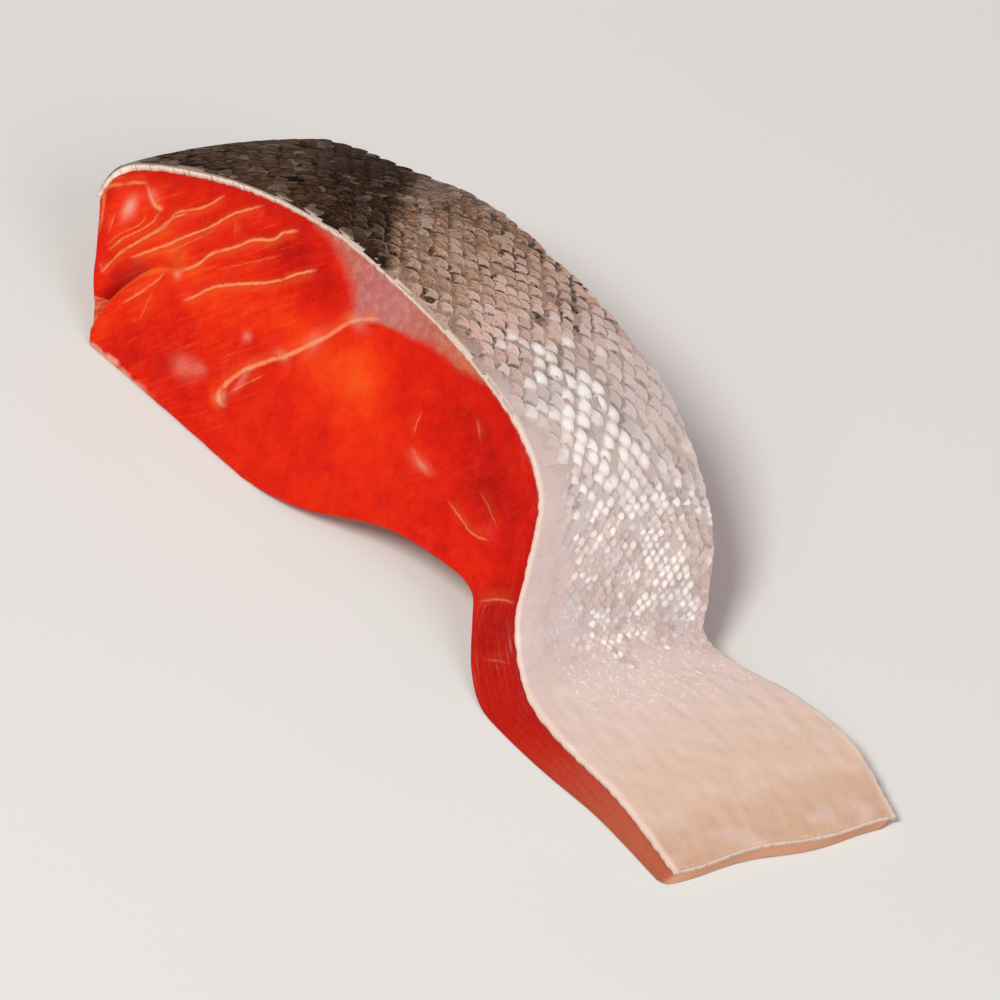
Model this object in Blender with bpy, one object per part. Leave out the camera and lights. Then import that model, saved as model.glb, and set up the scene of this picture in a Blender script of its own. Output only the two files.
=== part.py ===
# A raw salmon steak: one crosswise slice of a boned side of the fish, lying skin up.
# X runs from the back of the fish to its belly, Y from its head to its tail, and Z is up.
# Both cut faces lean towards the tail, so the head-side face looks up. Lengths are in metres.

import math

import bmesh
import bpy
import numpy as np

# Driving dimensions of the slice
CUT_LEAN = math.radians(40.0)
CUT_SKEW = math.radians(15.4)
SKIN_CROWN = 0.0016
FLAP_CROWN = 0.0004
CUT_NORMAL = np.array(
    [
        math.sin(CUT_SKEW) * math.cos(CUT_LEAN),
        -math.cos(CUT_SKEW) * math.cos(CUT_LEAN),
        math.sin(CUT_LEAN),
    ]
)

# Each row is one station from the back to the belly edge, on a cut face. It holds the skin's and then
# the underside's place, along the face's foot and up the leaning face, and how far tailward both lie.
HEAD_CUT = (
    (-0.0140, 0.0205, 0.0000, 0.0000, 0.0000),
    (-0.0105, 0.0285, 0.0035, 0.0000, 0.0000),
    (0.0085, 0.0376, 0.0120, 0.0000, 0.0000),
    (0.0290, 0.0420, 0.0240, 0.0000, 0.0000),
    (0.0480, 0.0420, 0.0380, 0.0000, 0.0000),
    (0.0650, 0.0404, 0.0500, 0.0025, 0.0000),
    (0.0790, 0.0368, 0.0660, 0.0095, 0.0000),
    (0.0885, 0.0305, 0.0790, 0.0118, 0.0000),
    (0.0930, 0.0205, 0.0860, 0.0115, 0.0000),
    (0.0962, 0.0137, 0.0895, 0.0085, -0.0006),
    (0.1010, 0.0094, 0.0945, 0.0030, -0.0014),
    (0.1080, 0.0068, 0.1020, 0.0000, -0.0028),
    (0.1175, 0.0059, 0.1150, 0.0000, -0.0035),
    (0.1311, 0.0047, 0.1300, 0.0000, -0.0032),
    (0.1467, 0.0030, 0.1465, 0.0000, -0.0045),
)
TAIL_CUT = (
    (-0.0115, 0.0170, 0.0000, 0.0000, 0.0330),
    (-0.0060, 0.0240, 0.0035, 0.0000, 0.0330),
    (0.0120, 0.0305, 0.0120, 0.0000, 0.0320),
    (0.0295, 0.0355, 0.0240, 0.0000, 0.0311),
    (0.0450, 0.0356, 0.0380, 0.0000, 0.0310),
    (0.0600, 0.0343, 0.0520, 0.0025, 0.0312),
    (0.0765, 0.0302, 0.0680, 0.0080, 0.0316),
    (0.0890, 0.0240, 0.0820, 0.0100, 0.0312),
    (0.0985, 0.0185, 0.0900, 0.0095, 0.0295),
    (0.1042, 0.0122, 0.0965, 0.0070, 0.0279),
    (0.1078, 0.0084, 0.1010, 0.0025, 0.0268),
    (0.1136, 0.0066, 0.1075, 0.0000, 0.0284),
    (0.1237, 0.0058, 0.1200, 0.0000, 0.0322),
    (0.1363, 0.0047, 0.1350, 0.0000, 0.0338),
    (0.1518, 0.0030, 0.1515, 0.0000, 0.0307),
)

# Faces of the mesh along the slice, up a cut face and across the skin
ALONG = 84
UP = 16
ACROSS = 9
THIN_SPACING = 0.016

# Seams between the muscle blocks, as (foot, rise) points on a cut face
SEAMS = (
    ((-0.0114, 0.0178), (-0.0125, 0.0202), (-0.0129, 0.0232), (-0.0114, 0.0267), (-0.0075, 0.0294)),
    ((-0.0037, 0.0163), (-0.0002, 0.0240), (0.0025, 0.0290), (0.0063, 0.0355)),
    ((-0.0022, 0.0155), (0.0025, 0.0228), (0.0070, 0.0302), (0.0136, 0.0378)),
    ((0.0071, 0.0209), (0.0109, 0.0267), (0.0148, 0.0317), (0.0202, 0.0355), (0.0228, 0.0388)),
    ((0.0105, 0.0171), (0.0178, 0.0244), (0.0225, 0.0282), (0.0271, 0.0325), (0.0305, 0.0367)),
    ((0.0263, 0.0082), (0.0290, 0.0148), (0.0317, 0.0194), (0.0363, 0.0255), (0.0425, 0.0340)),
)
SEAM_DEPTH = 0.0006
SEAM_WIDTH = 0.0015

# A split in the meat of both cut faces, widest at the back
SPLIT = (
    (-0.0028, 0.0040),
    (-0.0028, 0.0065),
    (-0.0018, 0.0105),
    (0.0003, 0.0150),
    (0.0030, 0.0183),
    (0.0068, 0.0216),
)
SPLIT_DEPTH = 0.0026
SPLIT_WIDTH = 0.0016
RELIEF_FADE = 0.0030

# How far the back meat bulges out between its foot and its skin, and how much of the slice that moves
BACK_BULGE = 0.0021
BULGE_REACH = 0.10

# Unevenness of the belly edge
EDGE_WAVE = 0.0005
EDGE_WAVES = 1.7


def smooth_curve(points, place):
    """A Catmull-Rom curve through the points. place runs from 0 at the first to 1 at the last."""
    points = np.asarray(points, float)
    last = len(points) - 1
    padded = np.vstack([2 * points[0] - points[1], points, 2 * points[-1] - points[-2]])
    step = np.clip(place, 0.0, 1.0) * last
    i = np.minimum(step.astype(int), last - 1)
    t = (step - i)[..., None]
    a, b, c, d = (padded[i + k] for k in range(4))
    square, cube = 2 * a - 5 * b + 4 * c - d, 3 * b - a - 3 * c + d
    return 0.5 * (2 * b + (c - a) * t + square * t**2 + cube * t**3)


def grid_places(count):
    """Places along the slice, spaced over the skin and closer together where the meat is thick."""
    fine = np.linspace(0.0, 1.0, 40 * count)
    row = smooth_curve(HEAD_CUT, fine)
    step = np.linalg.norm(np.diff(row[:, :2], axis=0), axis=1)
    thick = np.linalg.norm(row[:, :2] - row[:, 2:4], axis=1)
    run = np.concatenate([[0.0], np.cumsum(step * (thick[1:] + THIN_SPACING))])
    return np.interp(np.linspace(0.0, run[-1], count + 1), run, fine)


def in_space(foot, rise, shift):
    """The point so far along a cut face's foot, so far up its leaning plane and so far tailward."""
    x = foot * math.cos(CUT_SKEW) - rise * math.sin(CUT_SKEW) * math.sin(CUT_LEAN)
    y = foot * math.sin(CUT_SKEW) + rise * math.cos(CUT_SKEW) * math.sin(CUT_LEAN) + shift
    return np.stack([x, y, rise * math.cos(CUT_LEAN)], axis=-1)


def on_cut(stations, place, share):
    """(foot, rise, shift) on a cut face, at share 0 on the underside and 1 on the skin."""
    row = smooth_curve(stations, place)
    skin, under = row[..., :2], row[..., 2:4]
    under[..., 1] = np.maximum(under[..., 1], 0.0)
    foot, rise = np.moveaxis(under + (skin - under) * share[..., None], -1, 0)
    bulge = np.sin(math.pi * share).clip(0.0) ** 1.5 * (1.0 - place / BULGE_REACH).clip(0.0) ** 2
    return foot - BACK_BULGE * bulge, rise, row[..., 4]


def off_line(foot, rise, line):
    """Distance from points of a cut face to a line on it, and how far along the line they are, 0 to 1."""
    line = np.asarray(line)
    nearest = np.full(np.shape(foot), np.inf)
    along = np.zeros(np.shape(foot))
    for i, (start, step) in enumerate(zip(line[:-1], np.diff(line, axis=0))):
        t = ((foot - start[0]) * step[0] + (rise - start[1]) * step[1]) / (step @ step)
        t = np.clip(t, 0.0, 1.0)
        off = np.hypot(foot - start[0] - t * step[0], rise - start[1] - t * step[1])
        along = np.where(off < nearest, (i + t) / (len(line) - 1), along)
        nearest = np.minimum(off, nearest)
    return nearest, along


def cut_relief(foot, rise, edge):
    """How far a cut face stands out at a point that is so far in from the face's edge."""
    depth = np.zeros(np.shape(foot))
    for seam in SEAMS:
        off, _ = off_line(foot, rise, seam)
        depth = np.maximum(depth, SEAM_DEPTH * np.exp(-((off / SEAM_WIDTH) ** 2)))
    off, along = off_line(foot, rise, SPLIT)
    depth = np.maximum(depth, SPLIT_DEPTH * (1.0 - 0.6 * along) * np.exp(-((off / SPLIT_WIDTH) ** 2)))
    return -depth * np.clip(edge / RELIEF_FADE, 0.0, 1.0)


def place_point(place, share, across):
    """A point of the steak, from its place along it, its share up a cut face and across the skin."""
    head, tail = (in_space(*on_cut(cut, place, share)) for cut in (HEAD_CUT, TAIL_CUT))
    point = head + (tail - head) * across[..., None]

    flap = np.clip((place - 0.72) / 0.15, 0.0, 1.0)
    crown = SKIN_CROWN + (FLAP_CROWN - SKIN_CROWN) * flap
    point[..., 2] += crown * 4.0 * across * (1.0 - across) * share
    edge_share = np.clip((place - 0.93) / 0.07, 0.0, 1.0)
    point[..., 0] += EDGE_WAVE * np.sin(2.0 * math.pi * EDGE_WAVES * across + 0.8) * edge_share

    foot, rise, _ = on_cut(HEAD_CUT, place, share)
    row = smooth_curve(HEAD_CUT, place)
    thick = np.linalg.norm(row[..., :2] - row[..., 2:4], axis=-1)
    relief = cut_relief(foot, rise, thick * np.minimum(share, 1.0 - share))
    facing = np.where(across == 0.0, 1.0, 0.0) - np.where(across == 1.0, 1.0, 0.0)
    return point + (relief * facing)[..., None] * CUT_NORMAL


def grid_shell():
    """A closed bmesh over the outside of a grid of ALONG x UP x ACROSS cells."""
    cells = (ALONG, UP, ACROSS)
    keys = [
        (i, j, k)
        for i in range(ALONG + 1)
        for j in range(UP + 1)
        for k in range(ACROSS + 1)
        if i in (0, ALONG) or j in (0, UP) or k in (0, ACROSS)
    ]
    index = np.array(keys)
    places = grid_places(ALONG)
    points = place_point(places[index[:, 0]], index[:, 1] / UP, index[:, 2] / ACROSS)
    low, high = points.min(axis=0), points.max(axis=0)
    points -= np.array([(low[0] + high[0]) / 2.0, (low[1] + high[1]) / 2.0, low[2]])

    bm = bmesh.new()
    verts = {key: bm.verts.new(point) for key, point in zip(keys, points)}
    for axis in range(3):
        one, two = (axis + 1) % 3, (axis + 2) % 3
        for side in (0, cells[axis]):
            for a in range(cells[one]):
                for b in range(cells[two]):
                    corners = []
                    for da, db in ((0, 0), (1, 0), (1, 1), (0, 1)):
                        key = [0, 0, 0]
                        key[axis], key[one], key[two] = side, a + da, b + db
                        corners.append(verts[tuple(key)])
                    bm.faces.new(corners if side else corners[::-1])
    bmesh.ops.recalc_face_normals(bm, faces=bm.faces)
    return bm


def salmon_material():
    """Wet orange-red salmon flesh."""
    material = bpy.data.materials.new("salmon")
    material.use_nodes = True
    shader = material.node_tree.nodes["Principled BSDF"]
    shader.inputs["Base Color"].default_value = (0.72, 0.045, 0.012, 1.0)
    shader.inputs["Roughness"].default_value = 0.32
    shader.inputs["Metallic"].default_value = 0.0
    return material


def build_steak():
    bm = grid_shell()
    mesh = bpy.data.meshes.new("salmon_steak")
    bm.to_mesh(mesh)
    bm.free()
    mesh.shade_smooth()
    mesh.set_sharp_from_angle(angle=math.radians(30.0))
    mesh.materials.append(salmon_material())
    steak = bpy.data.objects.new("salmon_steak", mesh)
    bpy.context.scene.collection.objects.link(steak)
    return steak


def main():
    for obj in list(bpy.data.objects):
        bpy.data.objects.remove(obj)
    build_steak()


main()
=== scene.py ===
# A raw salmon steak, dressed: wet orange-red meat under silver grey skin with its scales.
# The outline is the frame's: X from back to belly, Y from head to tail, Z up, in metres.

import math

import bpy
import numpy as np
from mathutils import Matrix, Vector


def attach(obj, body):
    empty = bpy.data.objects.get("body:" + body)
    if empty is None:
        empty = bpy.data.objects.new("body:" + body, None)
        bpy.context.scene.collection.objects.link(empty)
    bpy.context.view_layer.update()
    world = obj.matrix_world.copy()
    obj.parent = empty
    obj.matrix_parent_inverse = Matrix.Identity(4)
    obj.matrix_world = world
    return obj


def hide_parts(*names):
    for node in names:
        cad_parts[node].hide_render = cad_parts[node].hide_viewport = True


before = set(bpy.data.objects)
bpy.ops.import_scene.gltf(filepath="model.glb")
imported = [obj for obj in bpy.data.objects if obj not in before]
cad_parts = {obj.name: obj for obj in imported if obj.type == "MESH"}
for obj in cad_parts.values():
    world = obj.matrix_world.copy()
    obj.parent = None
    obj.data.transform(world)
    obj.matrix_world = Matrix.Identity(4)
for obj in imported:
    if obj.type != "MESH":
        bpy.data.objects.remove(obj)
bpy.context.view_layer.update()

# The steak's outline, as in its source

MM = 0.001
CUT_LEAN = math.radians(40.0)
CUT_SKEW = math.radians(15.4)
SKIN_CROWN = 0.0016
FLAP_CROWN = 0.0004
ORIGIN = np.array([0.06431, 0.03660, 0.0])
CUT_NORMAL = np.array(
    [
        math.sin(CUT_SKEW) * math.cos(CUT_LEAN),
        -math.cos(CUT_SKEW) * math.cos(CUT_LEAN),
        math.sin(CUT_LEAN),
    ]
)
HEAD_CUT = (
    (-0.0140, 0.0205, 0.0000, 0.0000, 0.0000),
    (-0.0105, 0.0285, 0.0035, 0.0000, 0.0000),
    (0.0085, 0.0376, 0.0120, 0.0000, 0.0000),
    (0.0290, 0.0420, 0.0240, 0.0000, 0.0000),
    (0.0480, 0.0420, 0.0380, 0.0000, 0.0000),
    (0.0650, 0.0404, 0.0500, 0.0025, 0.0000),
    (0.0790, 0.0368, 0.0660, 0.0095, 0.0000),
    (0.0885, 0.0305, 0.0790, 0.0118, 0.0000),
    (0.0930, 0.0205, 0.0860, 0.0115, 0.0000),
    (0.0962, 0.0137, 0.0895, 0.0085, -0.0006),
    (0.1010, 0.0094, 0.0945, 0.0030, -0.0014),
    (0.1080, 0.0068, 0.1020, 0.0000, -0.0028),
    (0.1175, 0.0059, 0.1150, 0.0000, -0.0035),
    (0.1311, 0.0047, 0.1300, 0.0000, -0.0032),
    (0.1467, 0.0030, 0.1465, 0.0000, -0.0045),
)
TAIL_CUT = (
    (-0.0115, 0.0170, 0.0000, 0.0000, 0.0330),
    (-0.0060, 0.0240, 0.0035, 0.0000, 0.0330),
    (0.0120, 0.0305, 0.0120, 0.0000, 0.0320),
    (0.0295, 0.0355, 0.0240, 0.0000, 0.0311),
    (0.0450, 0.0356, 0.0380, 0.0000, 0.0310),
    (0.0600, 0.0343, 0.0520, 0.0025, 0.0312),
    (0.0765, 0.0302, 0.0680, 0.0080, 0.0316),
    (0.0890, 0.0240, 0.0820, 0.0100, 0.0312),
    (0.0985, 0.0185, 0.0900, 0.0095, 0.0295),
    (0.1042, 0.0122, 0.0965, 0.0070, 0.0279),
    (0.1078, 0.0084, 0.1010, 0.0025, 0.0268),
    (0.1136, 0.0066, 0.1075, 0.0000, 0.0284),
    (0.1237, 0.0058, 0.1200, 0.0000, 0.0322),
    (0.1363, 0.0047, 0.1350, 0.0000, 0.0338),
    (0.1518, 0.0030, 0.1515, 0.0000, 0.0307),
)
BACK_BULGE = 0.0021
BULGE_REACH = 0.10
EDGE_WAVE = 0.0005
EDGE_WAVES = 1.7

# Sizes of the finish

SKIN_THICK = 0.0015
SKIN_DEPTH = 0.00018
WIDTH_MM = 33.0
MEAT_GRID = (330, 70, 40)
SKIN_GRID = (400, 2, 72)
THIN_SPACING = 0.016

# Bands in the meat, as (foot, rise) points on a cut face in mm, with each band's width and strength
BANDS = (
    (((-11.0, 15.9), (-12.7, 20.1), (-13.4, 22.4),
      (-12.0, 24.6), (-8.9, 27.2), (-6.4, 28.5)), 0.40, 0.55),
    (((-6.9, 28.2), (-4.7, 26.6), (-2.8, 26.1), (-1.6, 26.9)), 0.62, 0.95),
    (((-9.0, 16.8), (-9.3, 18.8), (-9.9, 20.8)), 0.25, 0.50),
    (((-2.2, 26.1), (-2.6, 22.9), (-5.8, 17.8), (-7.2, 14.9)), 0.28, 0.60),
    (((-3.9, 24.2), (-4.4, 21.6), (-6.8, 18.2), (-8.2, 15.2)), 0.20, 0.35),
    (((3.2, 29.1), (0.3, 25.6), (-1.2, 22.3), (-5.4, 14.6), (-6.4, 10.9)), 0.34, 0.72),
    (((7.4, 35.5), (4.7, 31.2), (0.8, 27.3), (0.2, 24.2), (-4.0, 17.0), (-6.5, 12.2)), 0.32, 0.80),
    (((14.8, 38.2), (10.6, 33.9), (7.9, 29.5), (4.4, 24.9), (0.1, 19.3), (-2.3, 16.4)), 0.34, 0.88),
    (((9.6, 30.2), (6.4, 25.4), (3.2, 20.9)), 0.20, 0.32),
    (((11.5, 33.6), (12.3, 32.2), (12.9, 30.8)), 0.26, 0.50),
    (((23.3, 38.9), (20.8, 36.9), (19.8, 34.9), (16.6, 32.6),
      (14.0, 29.5), (11.0, 26.2), (10.0, 23.6), (7.6, 20.2)), 0.42, 0.95),
    (((22.6, 33.6), (18.4, 29.4), (13.6, 24.6)), 0.20, 0.25),
    (((30.1, 35.8), (27.2, 33.1), (24.0, 29.4), (17.4, 24.3), (14.2, 21.4), (11.2, 16.7)), 0.38, 0.92),
    (((0.8, 8.9), (3.0, 12.8), (4.4, 16.2), (5.0, 18.6)), 0.30, 0.55),
    (((5.0, 14.8), (5.4, 12.2), (6.2, 8.4)), 0.22, 0.30),
    (((26.2, 9.6), (26.6, 11.4), (28.2, 14.8), (31.1, 18.7),
      (33.6, 21.2), (37.9, 28.0), (41.1, 33.2), (45.4, 36.6)), 0.52, 0.85),
    (((28.9, 8.0), (27.2, 7.6), (26.0, 8.5), (26.2, 10.4)), 0.60, 0.85),
    (((27.6, 9.6), (29.8, 13.4), (31.8, 16.4)), 0.26, 0.45),
    (((62.2, 24.3), (61.3, 27.0), (61.0, 29.6)), 0.22, 0.32),
    (((62.6, 23.6), (65.4, 22.4), (68.4, 21.8)), 0.60, 0.36),
    (((70.3, 34.4), (71.8, 33.2), (73.4, 31.8)), 0.42, 0.35),
    (((73.5, 20.8), (78.8, 19.4), (81.8, 19.2), (84.7, 20.0)), 0.28, 0.45),
    (((77.8, 25.4), (81.0, 24.2), (84.5, 22.2)), 0.22, 0.25),
    (((88.4, 11.2), (91.5, 13.7), (94.6, 15.2)), 0.28, 0.55),
    (((95.4, 5.5), (97.8, 7.2), (100.0, 8.3)), 0.26, 0.45),
)
# A band shows this far to its sides, and bands further apart than this share one field, in mm
BAND_REACH, BAND_APART = 3.1, 6.6
GROOVE_DEPTH = 0.00034
GROOVE_WIDTH = 0.75
# Beside each groove the face steps by this share of its depth, out to this far in mm
STEP_SHARE, STEP_WIDTH = 0.6, 2.6
# At the tail-side cut, what a cut face shows lies so far along the foot and so far up, in mm
FOOT_SHIFT, RISE_SHIFT = -1.5, 0.8
SPLIT = ((-2.6, 2.6), (-2.7, 6.2), (-1.6, 10.5), (0.4, 15.0), (3.0, 18.3), (5.6, 20.0), (7.2, 21.4))
SPLIT_DEPTH = 0.0025
FAT_WEDGE = (
    (24.0, 45.0), (25.4, 42.0), (30.7, 41.2), (34.3, 39.6), (37.5, 37.6), (39.6, 36.0), (40.6, 34.2),
    (41.2, 33.0), (43.4, 34.6), (45.9, 36.0), (49.1, 37.0), (56.3, 38.8), (62.8, 38.9), (70.0, 40.5),
    (70.0, 45.0),
)
# Paler spots, of fat and of painted highlights on the wet meat: (foot, rise), half their width along the foot
# and up, and strength
SPOTS = (
    (-7.6, 23.1, 1.1, 1.9, 0.95), (7.6, 19.7, 0.9, 0.7, 0.55), (17.9, 8.4, 2.3, 1.6, 0.36),
    (20.6, 9.8, 1.6, 1.0, 0.30), (25.4, 19.4, 0.8, 0.7, 0.50), (28.6, 13.4, 0.6, 2.6, 0.35),
    (66.0, 22.3, 2.4, 0.9, 0.28), (-4.6, 27.2, 1.2, 1.0, 0.35), (32.8, 20.8, 1.4, 0.8, 0.35),
    (27.0, 8.6, 0.9, 1.0, 0.60), (36.6, 26.0, 1.3, 2.2, 0.26), (41.8, 33.4, 2.0, 1.0, 0.34),
)
# Patches of warmer or deeper red: (foot, rise), half widths, and how much more orange
WARMTH = (
    (5.0, 21.8, 4.5, 3.2, 0.85), (-5.5, 22.5, 6.0, 6.0, 0.45), (0.2, 4.5, 2.6, 4.0, 0.55),
    (4.5, 14.0, 3.5, 5.0, 0.45), (14.4, 19.5, 6.0, 4.0, 0.40), (22.5, 23.5, 7.0, 3.5, 0.42),
    (30.0, 27.0, 6.0, 3.0, 0.30), (46.0, 24.5, 8.0, 5.0, 0.75), (37.0, 24.5, 5.0, 3.5, 0.40),
    (47.0, 30.0, 6.0, 3.5, 0.35), (24.0, 35.5, 8.0, 4.0, -0.35), (10.0, 5.0, 9.0, 5.0, -0.20),
    (34.0, 33.0, 4.0, 4.0, -0.40), (70.0, 30.0, 12.0, 8.0, -0.30), (84.0, 27.0, 9.0, 9.0, -0.40),
    (94.0, 12.0, 7.0, 7.0, -0.70), (56.0, 18.0, 10.0, 4.0, 0.15),
)
LOBE_DOME = 0.00035
FIBRE_RELIEF = 0.00004
# The boned side's ridges: their height and lumps in metres, and their pitch and zigzags in mm
RIDGE_HEIGHT, RIDGE_LUMPS = 0.0003, 0.00012
RIDGE_PITCH, ZIGZAG_RUN, ZIGZAG_REACH = 6.5, 26.0, 3.4
# The skin's slope is taken over so far along it in mm, and over such a share of its width
ARC_STEP, ACROSS_STEP = 0.4, 0.01

rng = np.random.default_rng(11)


def smooth_curve(points, place):
    """A Catmull-Rom curve through the points. place runs from 0 at the first to 1 at the last."""
    points = np.asarray(points, float)
    last = len(points) - 1
    padded = np.vstack([2 * points[0] - points[1], points, 2 * points[-1] - points[-2]])
    step = np.clip(place, 0.0, 1.0) * last
    i = np.minimum(step.astype(int), last - 1)
    t = (step - i)[..., None]
    a, b, c, d = (padded[i + k] for k in range(4))
    square, cube = 2 * a - 5 * b + 4 * c - d, 3 * b - a - 3 * c + d
    return 0.5 * (2 * b + (c - a) * t + square * t**2 + cube * t**3)


def in_space(foot, rise, shift):
    """The point so far along a cut face's foot, so far up its leaning plane and so far tailward."""
    x = foot * math.cos(CUT_SKEW) - rise * math.sin(CUT_SKEW) * math.sin(CUT_LEAN)
    y = foot * math.sin(CUT_SKEW) + rise * math.cos(CUT_SKEW) * math.sin(CUT_LEAN) + shift
    return np.stack([x, y, rise * math.cos(CUT_LEAN)], axis=-1) - ORIGIN


def on_cut(stations, place, share):
    """(foot, rise, shift) on a cut face, at share 0 on the underside and 1 on the skin."""
    row = smooth_curve(stations, place)
    skin, under = row[..., :2], row[..., 2:4]
    under[..., 1] = np.maximum(under[..., 1], 0.0)
    foot, rise = np.moveaxis(under + (skin - under) * share[..., None], -1, 0)
    bulge = np.sin(math.pi * share).clip(0.0) ** 1.5 * (1.0 - place / BULGE_REACH).clip(0.0) ** 2
    return foot - BACK_BULGE * bulge, rise, row[..., 4]


def outline_point(place, share, across):
    """A point of the steak, from its place along it, its share up a cut face and across the skin."""
    head, tail = (in_space(*on_cut(cut, place, share)) for cut in (HEAD_CUT, TAIL_CUT))
    point = head + (tail - head) * across[..., None]
    flap = np.clip((place - 0.72) / 0.15, 0.0, 1.0)
    crown = SKIN_CROWN + (FLAP_CROWN - SKIN_CROWN) * flap
    point[..., 2] += crown * 4.0 * across * (1.0 - across) * share
    edge_share = np.clip((place - 0.93) / 0.07, 0.0, 1.0)
    point[..., 0] += EDGE_WAVE * np.sin(2.0 * math.pi * EDGE_WAVES * across + 0.8) * edge_share
    return point


FINE = np.linspace(0.0, 1.0, 4001)
FINE_ROW = smooth_curve(HEAD_CUT, FINE)
FINE_STEP = np.linalg.norm(np.diff(FINE_ROW[:, :2], axis=0), axis=1)
FINE_ARC = np.concatenate([[0.0], np.cumsum(FINE_STEP)]) / MM
ARC_END = FINE_ARC[-1]


def skin_surface(arc, across, depth):
    """A point so deep under the skin's outside, at arc mm from the back and so far across, and its normal."""
    def at(arc_mm, share_across):
        place = np.interp(arc_mm, FINE_ARC, FINE)
        return outline_point(place, np.ones_like(place), share_across)

    inner = np.clip(arc, ARC_STEP, ARC_END - ARC_STEP)
    along = at(inner + ARC_STEP, across) - at(inner - ARC_STEP, across)
    over = at(arc, across + ACROSS_STEP) - at(arc, across - ACROSS_STEP)
    normal = np.cross(along, over)
    normal /= np.linalg.norm(normal, axis=-1, keepdims=True)
    return at(arc, across) - normal * np.asarray(depth)[..., None], normal


def ripple(x, y, wave, seed, count=14):
    """Smooth noise from -1 to 1 or so, with features about wave apart."""
    draw = np.random.default_rng(seed)
    angles, phases = draw.uniform(0, 2 * math.pi, (2, count))
    total = np.zeros(np.shape(x))
    for angle, phase, size in zip(angles, phases, draw.uniform(0.7, 1.6, count)):
        k = 2 * math.pi / (wave * size)
        total = total + np.sin(k * (x * math.cos(angle) + y * math.sin(angle)) + phase)
    return total / math.sqrt(count)


def smoothstep(low, high, x):
    t = np.clip((x - low) / (high - low), 0.0, 1.0)
    return t * t * (3.0 - 2.0 * t)


def off_line(foot, rise, line):
    """Signed distance in mm from points of a cut face to a line, and a share that drops past its ends."""
    line = smooth_curve(line, np.linspace(0.0, 1.0, 6 * len(line)))
    nearest = np.full(np.shape(foot), np.inf)
    signed = np.zeros(np.shape(foot))
    along = np.zeros(np.shape(foot))
    pieces = len(line) - 1
    for i, (start, step) in enumerate(zip(line[:-1], np.diff(line, axis=0))):
        length = math.hypot(*step)
        t = ((foot - start[0]) * step[0] + (rise - start[1]) * step[1]) / length**2
        if i == 0:
            t = np.minimum(t, 1.0)
        elif i == pieces - 1:
            t = np.maximum(t, 0.0)
        else:
            t = np.clip(t, 0.0, 1.0)
        side = (foot - start[0]) * step[1] - (rise - start[1]) * step[0]
        off = np.hypot(foot - start[0] - t * step[0], rise - start[1] - t * step[1])
        closer = off < nearest
        signed = np.where(closer, np.sign(side) * off, signed)
        along = np.where(closer, i + t, along)
        nearest = np.minimum(off, nearest)
    step_mm = np.mean(np.linalg.norm(np.diff(line, axis=0), axis=1))
    ends = np.minimum(along, pieces - along) * step_mm
    return signed, smoothstep(-0.4, 2.2, ends)


def band_groups():
    """The bands' numbers in groups, where the bands of each group lie well apart."""
    lines = [smooth_curve(line, np.linspace(0.0, 1.0, 40)) for line, _, _ in BANDS]
    groups = []

    def gap(one, other):
        return np.linalg.norm(lines[one][:, None] - lines[other], axis=-1).min()

    for number in range(len(lines)):
        for group in groups:
            if all(gap(number, other) > BAND_APART for other in group):
                group.append(number)
                break
        else:
            groups.append([number])
    return groups


BAND_GROUPS = band_groups()


def off_shape(foot, rise, corners):
    """Signed distance in mm to a shape on the cut face, negative inside."""
    corners = np.asarray(corners)
    nearest = np.full(np.shape(foot), np.inf)
    inside = np.zeros(np.shape(foot), bool)
    for a, b in zip(corners, np.roll(corners, -1, axis=0)):
        step = b - a
        t = np.clip(((foot - a[0]) * step[0] + (rise - a[1]) * step[1]) / (step @ step), 0.0, 1.0)
        nearest = np.minimum(nearest, np.hypot(foot - a[0] - t * step[0], rise - a[1] - t * step[1]))
        if step[1] != 0.0:
            crosses = (a[1] > rise) != (b[1] > rise)
            inside ^= crosses & (foot < a[0] + (rise - a[1]) * step[0] / step[1])
    return np.where(inside, -nearest, nearest)


# Meshes

def quads(grid):
    """The four corners of each cell in a grid of vertex numbers."""
    return np.stack([grid[:-1, :-1], grid[1:, :-1], grid[1:, 1:], grid[:-1, 1:]], axis=-1).reshape(-1, 4)


def grid_shell(name, cells, point_at):
    """A closed mesh over the outside of a grid, and each vertex's own grid place."""
    size = np.array(cells) + 1
    i, j, k = np.meshgrid(*(np.arange(n) for n in size), indexing="ij")
    shell = (i == 0) | (i == cells[0]) | (j == 0) | (j == cells[1]) | (k == 0) | (k == cells[2])
    index = np.full(size, -1)
    index[shell] = np.arange(shell.sum())
    faces = []
    for axis in range(3):
        for side in (0, cells[axis]):
            flat = quads(np.moveaxis(index, axis, 0)[side])
            # the two axes that are left keep their order, which turns the middle axis's faces round
            outward = (side > 0) != (axis == 1)
            faces.append(flat if outward else flat[:, ::-1])
    return make_mesh(name, point_at(i[shell], j[shell], k[shell]), np.concatenate(faces))


def make_mesh(name, points, faces):
    """A smooth-shaded mesh object from arrays of points and quads."""
    mesh = bpy.data.meshes.new(name)
    mesh.vertices.add(len(points))
    mesh.vertices.foreach_set("co", np.ascontiguousarray(points, dtype=np.float32).ravel())
    mesh.loops.add(faces.size)
    mesh.loops.foreach_set("vertex_index", np.ascontiguousarray(faces, dtype=np.int32).ravel())
    mesh.polygons.add(len(faces))
    mesh.polygons.foreach_set("loop_start", np.arange(0, faces.size, 4, dtype=np.int32))
    mesh.update(calc_edges=True)
    mesh.validate()
    mesh.shade_smooth()
    obj = bpy.data.objects.new(name, mesh)
    bpy.context.scene.collection.objects.link(obj)
    return obj


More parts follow.
